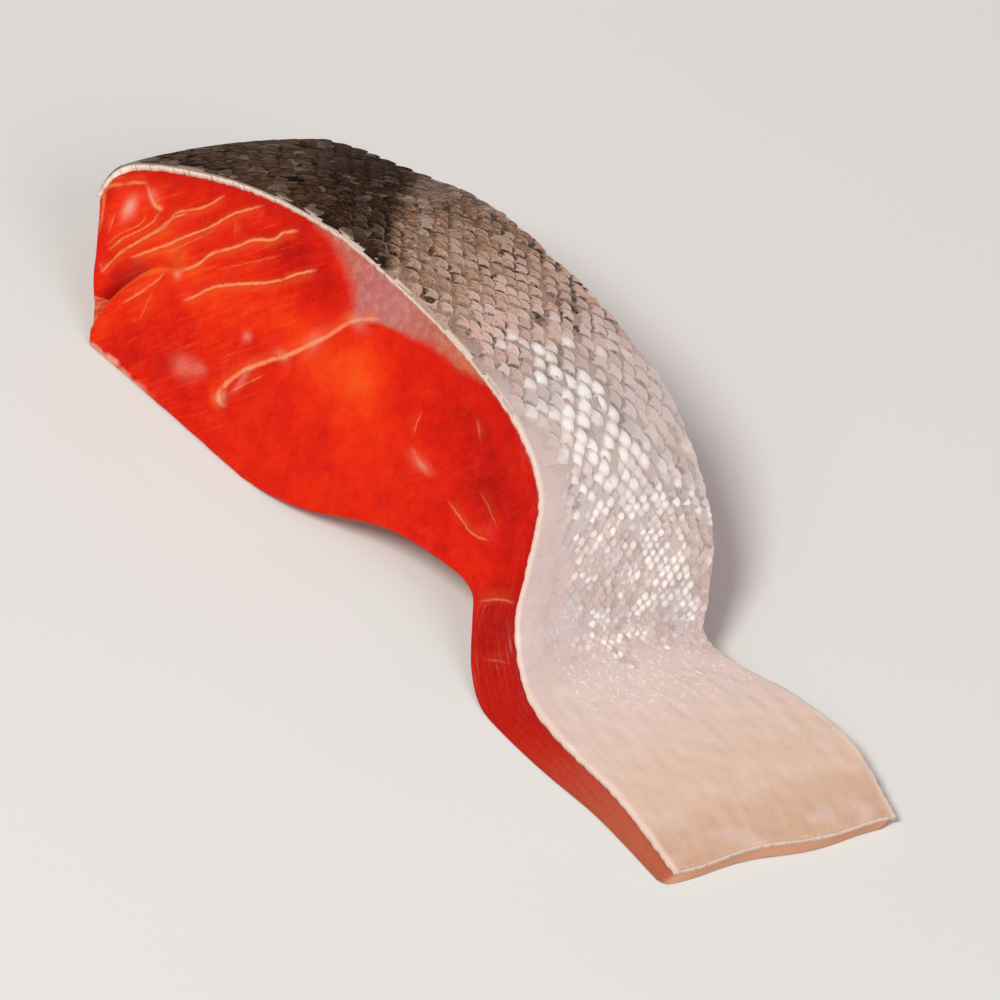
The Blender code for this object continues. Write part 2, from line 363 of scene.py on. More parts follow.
def keep(obj, fields):
    """Stores each field, a number or a triple for each vertex, under the name that the material reads."""
    for name, values in fields.items():
        values = np.ascontiguousarray(values, dtype=np.float32)
        kind, key = ("FLOAT", "value") if values.ndim == 1 else ("FLOAT_VECTOR", "vector")
        obj.data.attributes.new(name, kind, "POINT").data.foreach_set(key, values.ravel())


def thick_places(count):
    """Places along the slice, closer together where the meat is thick."""
    thick = np.linalg.norm(FINE_ROW[:, :2] - FINE_ROW[:, 2:4], axis=1)
    run = np.concatenate([[0.0], np.cumsum(FINE_STEP * (thick[1:] + THIN_SPACING))])
    return np.interp(np.linspace(0.0, run[-1], count + 1), run, FINE)


def soften(mesh, chosen, rounds):
    """Rounds off the chosen vertices towards their neighbours' middle, and lifts any from below the floor."""
    edges = np.empty(len(mesh.edges) * 2, dtype=np.int32)
    mesh.edges.foreach_get("vertices", edges)
    a, b = edges.reshape(-1, 2).T
    points = np.empty(len(mesh.vertices) * 3, dtype=np.float32)
    mesh.vertices.foreach_get("co", points)
    points = points.reshape(-1, 3).astype(float)
    count = np.bincount(a, minlength=len(points)) + np.bincount(b, minlength=len(points))
    weight = chosen[:, None] * 0.5
    for _ in range(rounds):
        total = np.zeros_like(points)
        np.add.at(total, a, points[b])
        np.add.at(total, b, points[a])
        points += (total / count[:, None] - points) * weight
    points[:, 2] = np.maximum(points[:, 2], 0.0)
    mesh.vertices.foreach_set("co", points.astype(np.float32).ravel())
    mesh.update()


def spots(marks, x, y):
    """The sum of soft spots, each at its own place, with its half widths and strength."""
    return sum(
        size * np.exp(-(((x - at_x) / wide) ** 2 + ((y - at_y) / tall) ** 2))
        for at_x, at_y, wide, tall, size in marks
    )


def band_fields(foot, rise):
    """(signed distance, strength, width) from each group of bands, and the depth of all their grooves."""
    count = len(foot)
    fields, depth = {}, np.zeros(count)
    for number, group in enumerate(BAND_GROUPS):
        shown = np.stack([np.full(count, 9.0), np.zeros(count), np.full(count, 0.3)], axis=-1)
        for line, width, strength in (BANDS[member] for member in group):
            signed, ends = off_line(foot, rise, line)
            near = ends * smoothstep(BAND_REACH, BAND_REACH - 0.6, np.abs(signed))
            mine = np.stack([signed, near * strength, np.full(count, width)], axis=-1)
            shown = np.where(near[:, None] > 0.0, mine, shown)
            groove = np.exp(-((signed / GROOVE_WIDTH) ** 2))
            step = STEP_SHARE * np.tanh(signed / 0.5) * np.exp(-((signed / STEP_WIDTH) ** 2))
            depth += GROOVE_DEPTH * ends * strength * (groove + step)
        fields[f"band_{number}"] = shown
    return fields, depth


def split_fields(foot, rise):
    """The split's signed distance and how open it is, and its depth."""
    signed, ends = off_line(foot, rise, SPLIT)
    mouth = smoothstep(24.0, 6.0, rise)
    behind = np.exp(-((np.minimum(signed, 0.0) / 2.6) ** 2))
    before = np.exp(-((np.maximum(signed, 0.0) / 0.42) ** 2))
    depth = SPLIT_DEPTH * (0.25 + 0.75 * mouth) * smoothstep(-0.2, 1.0, ends) * behind * before
    return np.stack([signed, ends * mouth, 0.0 * foot], axis=-1), depth


def boned_phase(foot, width):
    """The bands' count across the boned side, where they run in zigzags from back to belly."""
    zigzag = ZIGZAG_REACH * np.abs(np.mod(foot / ZIGZAG_RUN + 0.15, 2.0) - 1.0)
    return (width + zigzag + 0.5 * ripple(foot, width, 11.0, 9)) / RIDGE_PITCH


def build_meat():
    """The meat: a closed body whose cut faces carry the bands' grooves, the split and soft lobes."""
    places = thick_places(MEAT_GRID[0])
    fields, rim = {}, []

    def at(i, j, k):
        place, share, across = places[i], j / MEAT_GRID[1], k / MEAT_GRID[2]
        arc = np.interp(place, FINE, FINE_ARC)
        top, _ = skin_surface(arc, across, np.full(len(arc), SKIN_THICK))
        under = outline_point(place, np.zeros_like(place), across)
        thick = np.linalg.norm(top - under, axis=-1) / MM
        point = under + (top - under) * share[:, None]
        foot, rise, _ = (v / MM for v in on_cut(HEAD_CUT, place, share))
        width = across * WIDTH_MM

        # what the cut faces show goes through the whole slice, a little further back towards the tail
        foot_here, rise_here = foot + FOOT_SHIFT * across, rise + RISE_SHIFT * across
        bands, band_depth = band_fields(foot_here, rise_here)
        split, split_depth = split_fields(foot_here, rise_here)
        thin = smoothstep(3.0, 14.0, thick)
        lobes = LOBE_DOME * (ripple(foot, rise, 9.0, 3) * 0.5 + ripple(foot, rise, 3.2, 4) * 0.16)
        edge = np.minimum(share, 1.0 - share) * thick
        relief = (lobes - band_depth - split_depth) * thin * smoothstep(0.0, 1.6, edge)
        relief += FIBRE_RELIEF * (ripple(foot * 3.0, rise * 3.0, 2.6, 5) - 1.5)
        facing = (k == 0).astype(float) - (k == MEAT_GRID[2])
        point = point + (relief * facing)[:, None] * CUT_NORMAL

        # the boned side: low ridges where the bands come through, clear of the flat foot's plane
        chevron = boned_phase(foot, width)
        ridge = RIDGE_HEIGHT * (0.5 + 0.5 * np.cos(2 * math.pi * chevron))
        ridge += RIDGE_LUMPS * (ripple(foot, width, 4.0, 6) + 1.0)
        point[:, 2] += np.clip(ridge, 0.0, None) * (j == 0)

        on_face, on_under, on_end = (k == 0) | (k == MEAT_GRID[2]), j == 0, (i == 0) | (i == MEAT_GRID[0])
        rim.append(
            (on_face & (j <= 2))
            | (on_under & ((k <= 2) | (k >= MEAT_GRID[2] - 2)))
            | (on_end & (on_face | (j <= 2)))
            | ((i <= 2) & (on_face | on_under))
        )
        softness = 0.45 + 1.3 * smoothstep(42.0, 38.0, foot_here) + 0.7 * smoothstep(47.0, 55.0, foot_here)
        off_wedge = off_shape(foot_here, rise_here, FAT_WEDGE) + 0.10 * ripple(foot, rise, 4.0, 8)
        low = rise + 0.4 * ripple(foot, rise, 2.6, 7)
        foot_line = smoothstep(1.4, 0.5, low) * smoothstep(17.0, 11.0, foot)
        fields.update(
            bands,
            split=split,
            fat=off_wedge / softness,
            under_skin=(1.0 - share) * thick,
            cut_place=np.stack([foot, rise, width], axis=-1),
            arc=arc,
            chevron=chevron,
            under=on_under & ~on_face,
            end=on_end & ~on_face,
            warm=spots(WARMTH, foot_here, rise_here),
            white=spots(SPOTS, foot_here, rise_here) + 0.95 * foot_line,
        )
        return point

    meat = grid_shell("salmon_meat", MEAT_GRID, at)
    soften(meat.data, rim[0].astype(float), 5)
    keep(meat, fields)
    return meat


def build_skin():
    """The skin: one closed sheet over the meat, with its cut edges."""
    fields = {}

    def at(i, j, k):
        arc, layer, across = i / SKIN_GRID[0] * ARC_END, j / SKIN_GRID[1], k / SKIN_GRID[2]
        width = across * WIDTH_MM
        lumps = 0.00016 * ripple(arc, width, 7.0, 21) + 0.00005 * ripple(arc, width, 2.2, 22)
        wrinkles = 0.00007 * ripple(arc * 0.5, width * 1.6, 3.0, 23) * smoothstep(140.0, 150.0, arc)
        edge = np.minimum.reduce([width, WIDTH_MM - width, arc, ARC_END - arc])
        rounded = 0.00016 * (1.0 - smoothstep(0.0, 0.7, edge)) + 0.0005 * (1.0 - smoothstep(0.0, 1.3, arc))
        # under the scales the skin lies lower, and on the flap it comes up to the outline
        low = SKIN_DEPTH * (1.0 - 0.55 * smoothstep(135.0, 150.0, arc))
        outside = low + rounded + np.clip(lumps, -0.0002, 0.0002) * 0.4 + wrinkles
        inside = SKIN_THICK * (1.05 - 0.30 * (1.0 - smoothstep(0.0, 1.0, arc)))
        depth = np.where(layer > 0, outside, inside)
        depth = np.where(layer == 0.5, 0.5 * (depth + SKIN_THICK), depth)
        point, _ = skin_surface(arc, across, depth)
        # the cut edges aren't quite straight, and the middle of the edge stands out a little
        ragged = 0.00008 * ripple(arc, 0.0 * arc, 2.1, 24) + 0.00005 * ripple(arc, 0.0 * arc, 0.9, 25)
        inset = 0.00008 + 0.00022 * smoothstep(150.0, 165.0, arc)
        proud = np.clip(ragged, -0.00012, 0.00008) - inset + 0.00006 * (layer == 0.5)
        point[:, 1] += proud * ((k == SKIN_GRID[2]).astype(float) - (k == 0))
        spread = np.stack([arc, width, 0.0 * arc], axis=-1)
        fields.update(arc=arc, across=across, spread=spread, outside=layer == 1.0)
        return point

    skin = grid_shell("salmon_skin", SKIN_GRID, at)
    keep(skin, fields)
    return skin


# Scales, with lengths in mm

SCALE_PITCH, SCALE_ROW = 3.1, 2.0
SCALE_AHEAD, SCALE_BESIDE = 2.35, 2.05
SCALE_STOPS = np.array([-0.56, -0.25, 0.15, 0.55, 0.84, 1.0])
SCALE_COLUMNS = 7
SCALE_SLOPE = 0.030
SCALE_THICK = 0.05
LAST_SCALE = 149.0
# From here to there they get smaller, by this share
SMALLER_FROM, SMALLER_TO, SMALLER_BY = 104.0, 126.0, 0.54
# The dark patch on the back ends here, in mm from the back, and this much nearer on the tail side
PATCH_END, PATCH_SLANT = 64.5, 31.0
# The scales are dull brown up to here, and silver from here on
SILVER_START = 88.0
# Painted glints, where the scales catch the light: (arc, place along the fish), half widths, and strength
GLEAMS = (
    (101, 11, 11, 8, 0.95), (111, 15, 6, 9, 0.85), (118, 24, 6, 7, 0.70), (128, 24, 7, 8, 0.80),
    (121, 11, 8, 5, 0.55), (106, 27, 7, 5, -0.40), (138, 19, 6, 9, 0.45),
)


def scale_places():
    """A row for each scale: its place along the fish, arc, size, and how far those ahead cover it."""
    places = []
    arc, row = 0.8, 0
    while arc < LAST_SCALE:
        size = 1.0 - SMALLER_BY * float(smoothstep(SMALLER_FROM, SMALLER_TO, arc))
        pitch = SCALE_PITCH * size
        for step in range(-int(WIDTH_MM / pitch), int(WIDTH_MM / pitch) + 1):
            u = WIDTH_MM / 2 + pitch * (step + 0.5 * (row % 2))
            if -0.5 < u < WIDTH_MM:
                places.append((u, arc, size))
        arc += SCALE_ROW * size
        row += 1
    u, arc, size = np.array(places).T
    # the rows aren't ruled with a straightedge
    u, arc = u + 0.5 * ripple(arc, u, 23.0, 31), arc + 0.6 * ripple(arc, u, 21.0, 32)
    u, arc = u + rng.normal(0, 0.20, len(u)) * size, arc + rng.normal(0, 0.15, len(u)) * size

    # a strip along the head-side edge has none, and it widens towards the flap
    bare = 0.9 + 1.5 * smoothstep(92.0, 108.0, arc) + 1.6 * smoothstep(108.0, 120.0, arc)
    bare += 3.0 * smoothstep(120.0, 132.0, arc)
    bare += 0.8 * ripple(arc, 0 * arc, 7.0, 33) * smoothstep(80.0, 110.0, arc)
    fade = smoothstep(LAST_SCALE, LAST_SCALE - 12.0, arc + 3.5 * ripple(arc, u, 8.0, 34))
    kept = (u > np.maximum(bare, 0.2)) & (u < WIDTH_MM - 1.15 * size) & (arc > 2.6)
    kept &= rng.random(len(u)) < 0.985 * np.clip(fade * 1.4, 0.0, 1.0)
    covered = smoothstep(-0.3, 1.2 + 2.6 * smoothstep(94.0, 110.0, arc), u - bare)
    return np.stack([u, arc, size, covered], axis=-1)[kept]


def build_scales():
    """Every scale as a thin closed tile that lies on the skin and over the scale behind it."""
    places = scale_places()
    count, rows, columns = len(places), len(SCALE_STOPS), SCALE_COLUMNS
    shape = (count, rows, columns)
    beside = np.linspace(-1.0, 1.0, columns)
    free_end = SCALE_STOPS == 1.0
    # the free end closes in a round edge
    width = np.where(free_end, 0.30, np.sqrt(1.0 - SCALE_STOPS**2))
    grid_v = beside[None, :] * width[:, None]
    grid_u = SCALE_STOPS[:, None] - 0.045 * free_end[:, None] * beside**2

    at_u, at_arc, size, covered = places.T[:, :, None, None]
    turn = rng.normal(0, 0.13, count)[:, None, None]
    reach = 1.0 + rng.normal(0, 0.06, count)[:, None, None]
    tone, tone2 = rng.random(count)[:, None, None], rng.random(count)[:, None, None]
    lean, tilt = rng.normal(0, 1.0, (2, count))[:, :, None, None]
    own_u, own_v = SCALE_AHEAD * grid_u, SCALE_BESIDE * grid_v
    local_u, local_v = own_u * reach * size, own_v * reach * size
    u = at_u + local_u * np.cos(turn) - local_v * np.sin(turn)
    arc = at_arc + local_u * np.sin(turn) + local_v * np.cos(turn)
    u = np.clip(u, 0.15, WIDTH_MM - 0.35 + 0.55 * tone)
    # above the lowered skin: the free edge stands up, and no two scales lie quite alike
    height = 0.02 + SCALE_SLOPE * (own_u + 0.9) - 0.020 * grid_v**2
    height = height + 0.006 * lean * grid_v + 0.008 * tilt * (grid_u - 0.3)
    height = height * (0.3 + 0.7 * size) * (0.25 + 0.75 * covered)
    depth = SKIN_DEPTH - np.clip(height, 0.0, SKIN_DEPTH / MM - 0.01) * MM
    top, normal = skin_surface(*(np.broadcast_to(v, shape).ravel() for v in (arc, u / WIDTH_MM, depth)))
    top, normal = top.reshape(*shape, 3), normal.reshape(*shape, 3)
    bottom = top - normal * (SCALE_THICK * MM * (0.5 + 0.5 * size[..., None]))

    # the underside shares the rim's vertices, so each tile is closed
    inner = np.zeros((rows, columns), bool)
    inner[1:-1, 1:-1] = True
    upper = np.arange(rows * columns).reshape(rows, columns)
    lower = upper.copy()
    lower[inner] = rows * columns + np.arange(inner.sum())
    tile = np.concatenate([quads(upper)[:, ::-1], quads(lower)])
    points = np.concatenate([top.reshape(count, -1, 3), bottom[:, inner]], axis=1)
    faces = tile + (np.arange(count) * points.shape[1])[:, None, None]
    scales = make_mesh("salmon_scales", points.reshape(-1, 3), faces.reshape(-1, 4))
    scales.data.set_sharp_from_angle(angle=math.radians(60.0))
    on_patch = places[:, 1] + PATCH_SLANT * places[:, 0] / WIDTH_MM < PATCH_END
    finish = on_patch.astype(np.int32) + (places[:, 1] < SILVER_START)
    scales.data.polygons.foreach_set("material_index", np.repeat(finish, len(tile)).astype(np.int32))

    def each(values):
        """The values for every vertex: a tile's whole upper side, then the inside of its underside."""
        values = np.broadcast_to(values, shape)
        return np.concatenate([values.reshape(count, -1), values[:, inner]], axis=1).ravel()

    def triple(*values):
        return np.stack([each(value) for value in values], axis=-1)

    gleam = spots(GLEAMS, at_arc, at_u) + 0.30 * ripple(at_arc, at_u, 9.0, 35)
    own, local, spread = triple(tone, tone2, gleam), triple(own_u, own_v, covered), triple(arc, u, 0.0)
    keep(scales, {"own": own, "local": local, "spread": spread})
    keep(scales, {"arc": each(arc), "across": each(u / WIDTH_MM)})
    return scales


# Materials, which read places in mm and take the depths of bumps in metres

def rgb(*screen):
    """A colour from its red, green and blue as 0 to 255 screen values."""
    shares = [value / 255 for value in screen]
    return tuple(v / 12.92 if v <= 0.0405 else ((v + 0.055) / 1.055) ** 2.4 for v in shares) + (1.0,)


# The smooth strip of skin along the head-side edge
STRIP_TONE = rgb(208, 183, 177)
# How dark the marks between the scales are, pigment with painted shadow: (arc, share)
MARK_STRENGTHS = ((0.0, 0.8), (66.0, 0.95), (86.0, 0.85), (98.0, 0.46), (116.0, 0.34), (143.0, 0.08))


class Nodes:
    """Short words for building one material's nodes."""

    def __init__(self, name):
        self.material = bpy.data.materials.new(name)
        self.material.use_nodes = True
        self.tree = self.material.node_tree

    def add(self, kind, sockets=(), **settings):
        """A new node. sockets are pairs of an input and what it is linked or set to."""
        node = self.tree.nodes.new(kind)
        for key, value in settings.items():
            setattr(node, key, value)
        self.fill(node, sockets)
        return node

    def fill(self, node, sockets):
        for key, source in sockets:
            if isinstance(source, bpy.types.NodeSocket):
                self.tree.links.new(source, node.inputs[key])
            else:
                node.inputs[key].default_value = source

    def finish(self, base, roughness, normal, **settings):
        """The material, with its shader filled. Coat_Weight=0.1 sets Coat Weight."""
        shader = self.tree.nodes["Principled BSDF"]
        self.fill(shader, (("Base Color", base), ("Roughness", roughness), ("Normal", normal)))
        self.fill(shader, ((key.replace("_", " "), value) for key, value in settings.items()))
        return self.material

    def field(self, name, part="Fac"):
        return self.add("ShaderNodeAttribute", attribute_name=name).outputs[part]

    def parts(self, name):
        """The three numbers of a triple that was kept with the mesh."""
        return self.add("ShaderNodeSeparateXYZ", ((0, self.field(name, "Vector")),)).outputs

    def math(self, operation, *values, clamp=False):
        return self.add("ShaderNodeMath", enumerate(values), operation=operation, use_clamp=clamp).outputs[0]

    def fold(self, operation, values):
        total = values[0]
        for value in values[1:]:
            total = self.math(operation, total, value)
        return total

    def times(self, *values):
        return self.fold("MULTIPLY", values)

    def plus(self, *values):
        return self.fold("ADD", values)

    def largest(self, *values):
        return self.fold("MAXIMUM", values)

    def minus(self, one, two):
        return self.math("SUBTRACT", one, two)

    def size(self, value):
        return self.math("ABSOLUTE", value)

    def scaled(self, value, factor, shift):
        return self.math("MULTIPLY_ADD", value, factor, shift)

    def around(self, value, swing):
        """A value from 0 to 1 made to swing so far in all about 0."""
        return self.scaled(value, swing, -swing / 2)

    def ramp(self, value, low, high, to_low=0.0, to_high=1.0, kind="SMOOTHSTEP"):
        """Runs from to_low, where the value is low, to to_high, where it is high, and no further."""
        names = "Value", "From Min", "From Max", "To Min", "To Max"
        sockets = zip(names, (value, low, high, to_low, to_high))
        return self.add("ShaderNodeMapRange", sockets, interpolation_type=kind).outputs[0]

    def between(self, value, *stops):
        """1 from the second stop to the third, and 0 before the first and after the last."""
        return self.times(self.ramp(value, stops[0], stops[1]), self.ramp(value, stops[3], stops[2]))

    def mix(self, share, one, two):
        sockets = ("Factor", share), ("A", one), ("B", two)
        return self.add("ShaderNodeMix", sockets, data_type="RGBA").outputs["Result"]

    def noise(self, place, scale, detail=2.0, rough=0.5, distortion=0.0):
        names = "Vector", "Scale", "Detail", "Roughness", "Distortion"
        sockets = zip(names, (place, scale, detail, rough, distortion))
        return self.add("ShaderNodeTexNoise", sockets).outputs["Fac"]

    def stretched(self, place, *factors):
        return self.add("ShaderNodeVectorMath", ((0, place), (1, factors)), operation="MULTIPLY").outputs[0]

    def turned(self, place, *rows):
        """The place in other axes, one row of factors for each new axis."""
        axes = []
        for row in rows:
            dot = self.add("ShaderNodeVectorMath", ((0, place), (1, row)), operation="DOT_PRODUCT")
            axes.append(dot.outputs["Value"])
        return self.add("ShaderNodeCombineXYZ", enumerate(axes)).outputs[0]

    def colours(self, value, *stops):
        """A colour that changes with a value, through (value, colour) stops."""
        low, high = stops[0][0], stops[-1][0]
        node = self.add("ShaderNodeValToRGB", ((0, self.ramp(value, low, high, kind="LINEAR")),))
        elements = node.color_ramp.elements
        for element, (at, colour) in zip(elements, (stops[0], stops[-1])):
            element.position, element.color = (at - low) / (high - low), colour
        for at, colour in stops[1:-1]:
            elements.new((at - low) / (high - low)).color = colour
        return node.outputs[0]

    def bump(self, height, distance, strength, under=None):
        sockets = [("Height", height), ("Distance", distance), ("Strength", strength)]
        if under is not None:
            sockets.append(("Normal", under))
        return self.add("ShaderNodeBump", sockets).outputs[0]


def lean_meat(n, place, foot, fibre, grain):
    """The colour of the meat itself, from deep red to orange."""
    streak = n.noise(n.turned(place, (0.78, -0.63, 0.0), (0.07, 0.085, 0.0), (0.0, 0.0, 0.2)), 1.5, 3.0, 0.6)
    loin = n.ramp(foot, 36.0, 24.0)
    warm = n.plus(
        n.field("warm"),
        n.scaled(n.noise(place, 0.10, 2.0), 0.8, -0.25),
        n.times(n.minus(streak, 0.5), n.scaled(loin, 0.7, 0.3)),
        n.around(fibre, 0.30),
        n.scaled(n.noise(place, 0.34, 3.0, 0.6, 0.3), 0.8, -0.38),
    )
    base = n.colours(
        warm,
        (-0.6, rgb(168, 4, 0)), (0.0, rgb(216, 22, 0)), (0.45, rgb(236, 42, 2)),
        (0.9, rgb(242, 68, 8)), (1.3, rgb(244, 94, 26)),
    )
    # deeper red just under the skin, and a fine streaking along the fibres
    under_skin = n.field("under_skin")
    base = n.mix(n.ramp(under_skin, 4.0, 0.6, 0.0, 0.45), base, rgb(186, 12, 3))
    base = n.mix(n.ramp(grain, 0.55, 0.80, 0.0, 0.14), base, rgb(244, 112, 52))
    fine = n.times(n.ramp(streak, 0.60, 0.70), n.ramp(under_skin, 1.0, 4.0), n.scaled(loin, 0.12, 0.03))
    return n.mix(fine, base, rgb(246, 122, 62))


def boned_meat(n, place, arc):
    """The boned side: paler, with the bands in zigzags and a membrane towards the belly."""
    base = n.mix(n.ramp(n.noise(place, 0.16, 2.0), 0.35, 0.65), rgb(208, 54, 20), rgb(222, 86, 44))
    off_ridge = n.size(n.minus(n.math("FRACT", n.field("chevron")), 0.5))
    base = n.mix(n.ramp(off_ridge, 0.10, 0.02, 0.0, 0.75), base, rgb(236, 160, 120))
    pale = n.ramp(n.noise(place, 0.3, 3.0), 0.3, 0.7)
    membrane = n.mix(pale, rgb(206, 134, 114), rgb(228, 184, 164))
    return n.mix(n.ramp(arc, 78.0, 100.0, 0.0, 0.75), base, membrane)


def wedge_fat(n, place, foot):
    """The pale wedge of fat under the skin, tan at its ends."""
    base = n.colours(
        foot,
        (26.0, rgb(206, 120, 92)), (35.0, rgb(190, 104, 82)), (40.0, rgb(186, 106, 106)),
        (47.0, rgb(190, 118, 112)), (54.0, rgb(186, 104, 84)), (64.0, rgb(200, 110, 68)),
    )
    return n.mix(n.ramp(n.noise(place, 0.7, 2.0), 0.40, 0.75, 0.0, 0.6), base, rgb(212, 150, 136))


def band_shares(n, place):
    """How much each place of a face shows of a band, of the painted shadow beneath one and of the glow beside
    it.
    """
    wander = n.around(n.noise(place, 0.9, 3.0, 0.6), 0.5)
    shares = []
    for number in range(len(BAND_GROUPS)):
        signed, strength, width = n.parts(f"band_{number}")
        off = n.plus(signed, wander)
        shares.append((
            n.times(n.ramp(n.size(off), width, n.times(width, 0.15)), strength),
            n.times(n.between(off, 0.1, 0.5, 0.5, 2.0), strength),
            n.times(n.ramp(n.size(n.plus(off, 0.5)), 1.7, 0.0), strength),
        ))
    return [n.largest(*kind) for kind in zip(*shares)]


def meat_material():
    n = Nodes("wet_salmon_meat")
    place, arc, foot = n.field("cut_place", "Vector"), n.field("arc"), n.parts("cut_place")[0]
    under, end = n.field("under"), n.field("end")
    face = n.minus(1.0, n.largest(under, end))
    fibre = n.noise(n.stretched(place, 1.0, 0.45, 0.5), 1.3, 3.0, 0.6, 0.6)
    grain = n.noise(place, 3.2, 3.0, 0.6)
    base = n.mix(under, lean_meat(n, place, foot, fibre, grain), boned_meat(n, place, arc))
    end_streaks = n.ramp(n.noise(n.stretched(place, 1.0, 1.0, 0.25), 0.9, 3.0, 0.6), 0.35, 0.68)
    base = n.mix(n.times(end, 0.7), base, n.mix(end_streaks, rgb(196, 62, 34), rgb(230, 146, 108)))
    off_wedge = n.plus(n.field("fat"), n.around(fibre, 0.7))
    base = n.mix(n.ramp(off_wedge, 1.0, -1.0, 0.0, 0.95), base, wedge_fat(n, place, foot))

    lines, band_shadow, glow = band_shares(n, place)
    lines = n.times(lines, n.ramp(n.noise(place, 0.42, 2.0), 0.30, 0.52, 0.45, 1.0), face)
    # painted shadow beneath each band
    base = n.mix(n.times(band_shadow, face, 0.22), base, rgb(172, 8, 0))
    base = n.mix(n.times(glow, face, 0.34), base, rgb(246, 104, 40))
    base = n.mix(lines, base, rgb(247, 152, 104))

    # the split: painted shadow behind it, and a painted highlight on the orange rim of the lobe in front
    split, mouth, _ = n.parts("split")
    gap = n.times(n.between(split, -4.2, -0.3, -0.1, 0.25), mouth)
    base = n.mix(n.times(gap, face, 0.72), base, rgb(128, 4, 2))
    # painted highlight along the rim of the lobe in front of the split
    rim = n.times(n.between(split, -0.1, 0.4, 0.5, 1.5), n.ramp(mouth, 0.02, 0.3))
    base = n.mix(n.times(rim, face, 0.55), base, rgb(240, 122, 52))
    # pale spots of fat and painted highlights, and the cream line along the foot
    grainy = n.times(n.ramp(grain, 0.25, 0.6, 0.35, 1.0), face)
    base = n.mix(n.math("MULTIPLY", n.field("white"), grainy, clamp=True), base, rgb(238, 178, 150))

    # the belly wall and the thin flap are duller towards the tip
    side = n.minus(1.0, under)
    base = n.mix(n.times(n.ramp(arc, 118.0, 146.0, 0.0, 0.65), side), base, rgb(162, 16, 2))
    base = n.mix(n.times(n.ramp(arc, 148.0, 180.0, 0.0, 0.85), side), base, rgb(184, 100, 70))
    base = n.mix(n.times(end, n.ramp(arc, 100.0, 150.0), 0.85), base, rgb(214, 160, 128))

    roughness = n.ramp(n.noise(place, 0.8, 3.0), 0.3, 0.75, 0.26, 0.46)
    rough = n.bump(grain, 0.00008, 0.35, n.bump(fibre, 0.00030, 0.26))
    return n.finish(
        base, roughness, n.bump(n.times(lines, -1.0), 0.00016, 0.8, rough),
        Subsurface_Weight=0.25, Subsurface_Radius=(1.0, 0.12, 0.05), Subsurface_Scale=0.0018,
        Coat_Weight=0.06, Coat_Roughness=0.10, Specular_IOR_Level=0.14,
    )


def skin_tones(n, moved, arc, across, spread):
    """The skin's colour from the back to the belly edge, with the dark patch on the back, and the patch."""
    base = n.colours(
        moved,
        (0.0, rgb(108, 84, 66)), (34.0, rgb(100, 74, 54)), (55.0, rgb(132, 88, 58)),
        (68.0, rgb(188, 144, 116)), (82.0, rgb(212, 172, 156)), (96.0, rgb(214, 192, 186)),
        (118.0, rgb(215, 195, 190)), (134.0, rgb(196, 170, 163)), (146.0, rgb(222, 196, 187)),
        (160.0, rgb(226, 196, 180)), (174.0, rgb(222, 186, 162)), (184.7, rgb(206, 162, 132)),
    )
    # the silver has a cool sheen in places and a creamy one in others
    tint = n.noise(spread, 0.16, 2.0)
    silver = n.times(n.between(moved, 84.0, 104.0, 140.0, 156.0), 0.40)
    base = n.mix(n.times(n.ramp(tint, 0.50, 0.36), silver), base, rgb(204, 196, 204))
    base = n.mix(n.times(n.ramp(tint, 0.52, 0.66), silver), base, rgb(224, 204, 180))
    zone = n.plus(n.scaled(across, PATCH_SLANT, arc), n.around(n.noise(spread, 0.35, 2.0), 8.0))
    dark = n.ramp(zone, PATCH_END + 3.0, PATCH_END - 2.5)
    base = n.mix(n.times(dark, n.ramp(zone, 36.0, 52.0, 0.45, 0.95)), base, rgb(42, 18, 5))
    # pigment in fine streaks, strongest on the back
    streaks = n.noise(n.stretched(spread, 0.8, 1.4, 1.0), 1.2, 4.0, 0.7)
    back = n.ramp(moved, 104.0, 56.0)
    base = n.mix(n.times(n.ramp(streaks, 0.50, 0.62), back, 0.72), base, rgb(22, 10, 4))
    light = n.times(n.ramp(streaks, 0.46, 0.34), back, n.ramp(dark, 0.0, 1.0, 0.42, 0.24))
    base = n.mix(light, base, rgb(164, 124, 80))
    flecks = n.ramp(n.noise(n.stretched(spread, 1.3, 0.6, 1.0), 1.0, 3.0, 0.65), 0.54, 0.64)
    fleck_tone = n.mix(dark, rgb(216, 184, 160), rgb(132, 92, 54))
    base = n.mix(n.times(flecks, back, n.ramp(dark, 0.0, 1.0, 0.50, 0.30)), base, fleck_tone)
    return base, dark


